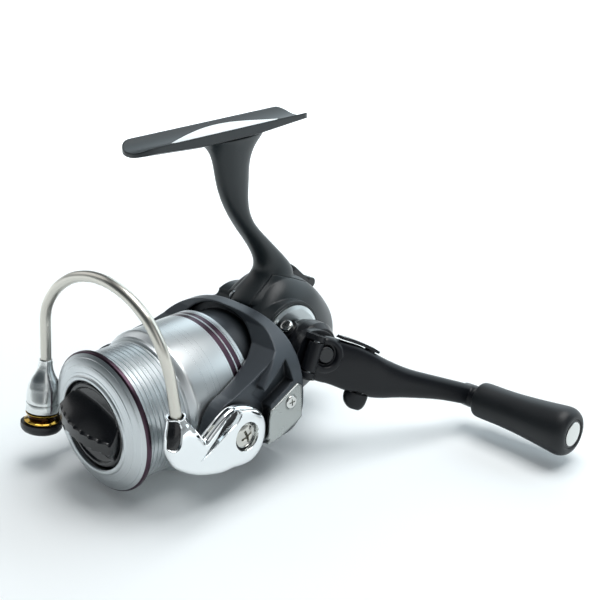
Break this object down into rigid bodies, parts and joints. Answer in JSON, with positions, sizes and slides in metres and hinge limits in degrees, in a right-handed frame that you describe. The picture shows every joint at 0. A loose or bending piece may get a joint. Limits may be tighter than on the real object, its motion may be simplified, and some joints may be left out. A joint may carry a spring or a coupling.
{
  "type": "spinning reel",
  "caption": "Open-face fishing reel with a wire bail over a turned spool, a two-arm rotor, a stem with a foot and a folding side crank.",
  "frame": {"origin": "bottom of the foot's curved rod seat, at the middle of its length and width", "axes": "+Z out of the seat towards the rod, -Y forward along the spool axis to the front of the spool, +X to the side of the crank"},
  "size_m": [0.1271, 0.126, 0.1022],
  "materials": {
    "satin_charcoal": "satin grey-green charcoal paint",
    "rotor_charcoal": "satin charcoal",
    "satin_silver": "satin silver",
    "bright_steel": "bright steel",
    "dark_steel": "machined steel",
    "chrome": "bright plate",
    "turned_aluminium": "turned and anodised",
    "brass": "machined",
    "zinc": "die cast zinc",
    "gold": "gold coloured plating",
    "black_plastic": "near black",
    "gloss_black": "glossy black",
    "knob_grey": "dark matte grey",
    "felt": "oiled felt",
    "white_plastic": "acetal"
  },
  "bodies": {
    "body": {"body_frame": "satin_charcoal", "side_cover": "satin_charcoal", "foot_plate": "bright_steel", "cover_screws": "dark_steel", "bearing_cap": "satin_silver", "left_port_cap": "satin_charcoal", "drive_bearings": "bright_steel", "pinion_bearing": "bright_steel", "pinion_bush": "brass", "clutch_housing": "dark_steel", "clutch_rollers": "bright_steel", "clutch_cage": "white_plastic", "clutch_plate": "dark_steel", "clutch_screws": "dark_steel", "guide_rod": "bright_steel"},
    "stopper": {"stopper_lever": "black_plastic"},
    "drive": {"drive_gear": "zinc", "drive_shaft": "bright_steel", "oscillation_pinion": "zinc", "handle_hub": "black_plastic", "hub_screw": "bright_steel"},
    "oscillator": {"oscillation_gear": "white_plastic"},
    "arm": {"handle_arm": "satin_charcoal", "arm_pivot_pin": "bright_steel", "knob_spindle": "bright_steel"},
    "button": {"fold_button": "black_plastic"},
    "latch": {"fold_latch": "black_plastic"},
    "knob": {"handle_knob": "knob_grey", "knob_cap": "satin_silver", "knob_bushes": "white_plastic"},
    "rotor": {"pinion": "brass", "rotor": "rotor_charcoal", "rotor_nut": "brass", "nut_lock_plate": "dark_steel", "nut_lock_screw": "dark_steel", "arm_cover_right": "satin_silver", "arm_cover_left": "satin_silver", "arm_cover_screws": "bright_steel", "clutch_sleeve": "bright_steel", "bail_spring": "bright_steel"},
    "bail": {"bail_holder": "chrome", "bail_pivot_screws": "bright_steel", "bail_wire": "bright_steel", "wire_socket_cup": "gloss_black", "line_arm": "gloss_black", "bail_arm_cam": "satin_silver", "roller_screw": "gloss_black"},
    "roller": {"line_roller": "gold", "roller_bush": "white_plastic"},
    "shaft": {"main_shaft": "bright_steel", "oscillation_slider": "zinc", "slider_screw": "dark_steel", "spool_seat": "white_plastic"},
    "spool": {"spool": "turned_aluminium", "drag_washers": "felt", "washer_retainer": "dark_steel", "spool_clicker": "dark_steel"},
    "drag": {"drag_knob": "gloss_black", "drag_nut": "brass"}
  },
  "joints": [
    {"name": "handle_turn", "type": "hinge", "parent": "body", "child": "drive", "pos_m": [-0.00377, 0.0161, -0.06796], "axis": [1, 0, 0], "continuous": true},
    {"name": "rotor_spin", "type": "hinge", "parent": "body", "child": "rotor", "pos_m": [0, -0.0139, -0.07695], "axis": [0, 1, 0], "continuous": true},
    {"name": "oscillation_gear_spin", "type": "hinge", "parent": "body", "child": "oscillator", "pos_m": [0.0041, 0.0277, -0.07695], "axis": [1, 0, 0], "continuous": true},
    {"name": "spool_stroke", "type": "slide", "parent": "body", "child": "shaft", "axis": [0, -1, 0], "range_m": [0, 0.012]},
    {"name": "spool_drag", "type": "hinge", "parent": "shaft", "child": "spool", "pos_m": [0, -0.0339, -0.07695], "axis": [0, 1, 0], "continuous": true},
    {"name": "drag_knob_turn", "type": "hinge", "parent": "shaft", "child": "drag", "pos_m": [0, -0.0469, -0.07695], "axis": [0, 1, 0], "range_deg": [-360, 720]},
    {"name": "bail_flip", "type": "hinge", "parent": "rotor", "child": "bail", "pos_m": [0, -0.0209, -0.08045], "axis": [1, 0, 0], "range_deg": [0, 85]},
    {"name": "roller_spin", "type": "hinge", "parent": "bail", "child": "roller", "pos_m": [-0.029, -0.04965, -0.08503], "axis": [0, 0.1761, 0.9844], "continuous": true},
    {"name": "handle_fold", "type": "hinge", "parent": "drive", "child": "arm", "pos_m": [0.0297, 0.00918, -0.06572], "axis": [0, -0.4352, -0.9003], "range_deg": [0, 55]},
    {"name": "knob_spin", "type": "hinge", "parent": "arm", "child": "knob", "pos_m": [0.067, 0.06013, -0.08924], "axis": [1, 0, 0], "continuous": true},
    {"name": "fold_button_press", "type": "slide", "parent": "arm", "child": "button", "axis": [-0.9092, 0.3748, -0.1812], "range_m": [0, 0.0012], "stiffness_N_per_m": 400, "springref_m": -0.0005},
    {"name": "fold_latch_press", "type": "slide", "parent": "arm", "child": "latch", "axis": [0, 0.4352, 0.9003], "range_m": [0, 0.0015], "stiffness_N_per_m": 400, "springref_m": -0.0005},
    {"name": "reverse_lever_turn", "type": "hinge", "parent": "body", "child": "stopper", "pos_m": [0, 0.0293, -0.05176], "axis": [0, 0.7071, 0.7071], "range_deg": [0, 28]}
  ],
  "couplings": [
    {"joint": "rotor_spin", "follows": "handle_turn", "ratio": -4.8},
    {"joint": "oscillation_gear_spin", "follows": "handle_turn", "ratio": -0.5}
  ]
}
